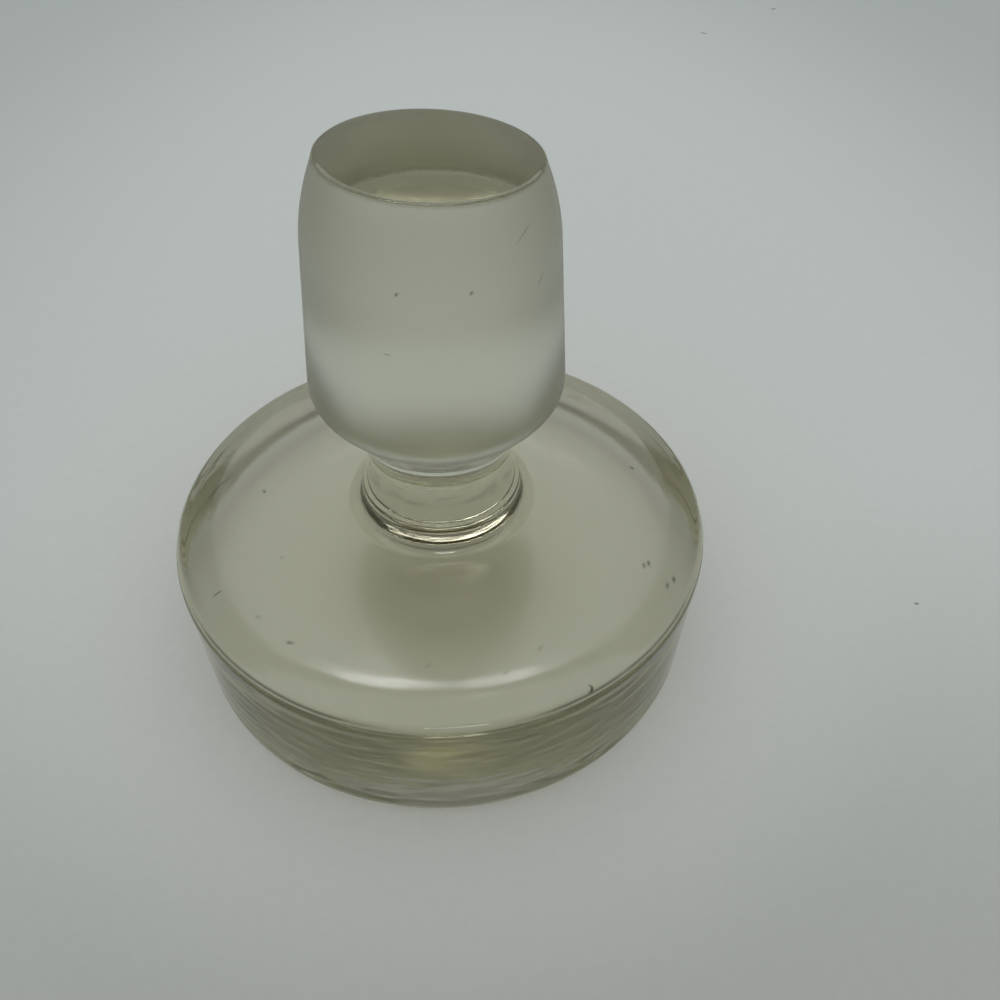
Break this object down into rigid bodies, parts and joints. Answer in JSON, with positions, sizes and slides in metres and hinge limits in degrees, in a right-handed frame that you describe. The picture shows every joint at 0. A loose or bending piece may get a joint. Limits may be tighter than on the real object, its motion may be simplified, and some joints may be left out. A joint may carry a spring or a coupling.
{
  "type": "glass stopper",
  "caption": "Solid glass stopper with a thick flat disc head, a waisted clear neck on a low collar and a tapered ground plug that closes the mouth of a bottle or jar.",
  "frame": {"origin": "centre of the head's flat face, which the stopper stands on", "axes": "+Z along the stopper's axis, from the head to the plug's end; the plug's oblique end face falls towards +X and +Y"},
  "size_m": [0.0682, 0.0682, 0.0678],
  "materials": {
    "glass": "pale olive clear glass, polished head and neck, satin ground plug"
  },
  "bodies": {
    "root": {"stopper": "glass"}
  },
  "joints": []
}
